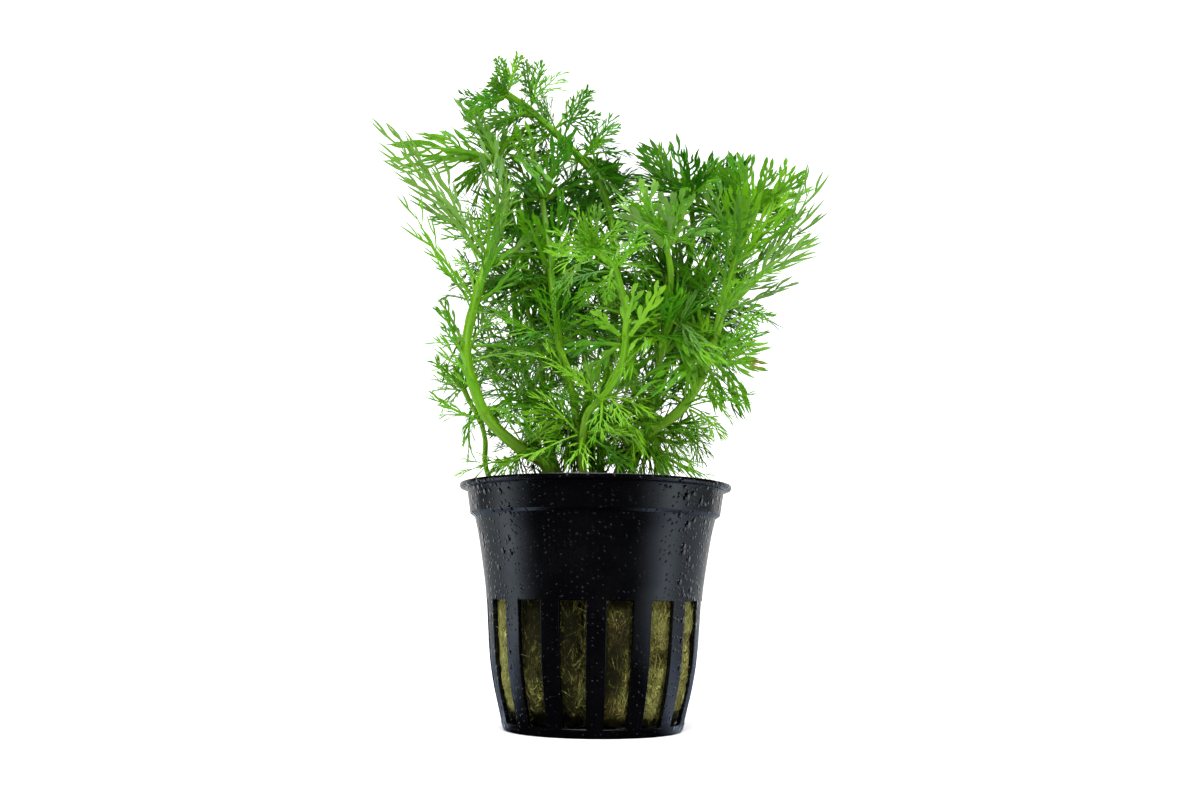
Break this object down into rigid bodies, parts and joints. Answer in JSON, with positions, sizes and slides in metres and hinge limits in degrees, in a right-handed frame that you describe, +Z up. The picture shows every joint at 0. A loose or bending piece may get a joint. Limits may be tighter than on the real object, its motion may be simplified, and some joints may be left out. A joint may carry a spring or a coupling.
{
  "type": "potted aquarium plant",
  "caption": "Giant ambulia, a stem plant with whorls of finely divided leaves, standing in a black slotted net pot packed with mineral wool.",
  "frame": {"origin": "centre of the pot's flat base, on the surface it stands on", "axes": "+Z up, -Y to the front that the picture shows, +X to the viewer's right"},
  "size_m": [0.087, 0.0724, 0.1395],
  "materials": {
    "pot_plastic": "black moulded plastic, smooth and glossy, wet",
    "mineral_wool": "olive mineral wool, matt, fibrous and damp",
    "stem": "fresh yellow-green stem, smooth, slightly see-through to light",
    "leaf": "fresh green leaf, satin, lets light through"
  },
  "bodies": {
    "root": {"leaves_back_1": "leaf", "leaves_back_2": "leaf", "leaves_centre_1": "leaf", "leaves_centre_2": "leaf", "leaves_centre_3": "leaf", "leaves_centre_4": "leaf", "leaves_far_left_1": "leaf", "leaves_front_1": "leaf", "leaves_front_2": "leaf", "leaves_front_3": "leaf", "leaves_front_4": "leaf", "leaves_front_5": "leaf", "leaves_inner_left_1": "leaf", "leaves_inner_left_2": "leaf", "leaves_left_1": "leaf", "leaves_left_2": "leaf", "leaves_left_3": "leaf", "leaves_left_4": "leaf", "leaves_left_5": "leaf", "leaves_left_6": "leaf", "leaves_left_back_1": "leaf", "leaves_left_back_2": "leaf", "leaves_right_1": "leaf", "leaves_right_2": "leaf", "leaves_right_3": "leaf", "leaves_right_4": "leaf", "leaves_right_5": "leaf", "leaves_right_6": "leaf", "leaves_right_back_1": "leaf", "leaves_right_back_2": "leaf", "leaves_right_inner_1": "leaf", "leaves_right_inner_2": "leaf", "leaves_right_inner_3": "leaf", "leaves_right_tall_1": "leaf", "leaves_right_tall_2": "leaf", "leaves_slender_1": "leaf", "leaves_top_1": "leaf", "leaves_top_2": "leaf", "leaves_top_3": "leaf", "leaves_top_4": "leaf", "net_pot": "pot_plastic", "stem_back": "stem", "stem_centre": "stem", "stem_far_left": "stem", "stem_front": "stem", "stem_inner_left": "stem", "stem_left": "stem", "stem_left_back": "stem", "stem_right": "stem", "stem_right_back": "stem", "stem_right_inner": "stem", "stem_right_tall": "stem", "stem_slender": "stem", "stem_top": "stem", "wool_back": "mineral_wool", "wool_core": "mineral_wool", "wool_front_left": "mineral_wool", "wool_front_right": "mineral_wool", "wool_left": "mineral_wool", "wool_right": "mineral_wool"}
  },
  "joints": []
}
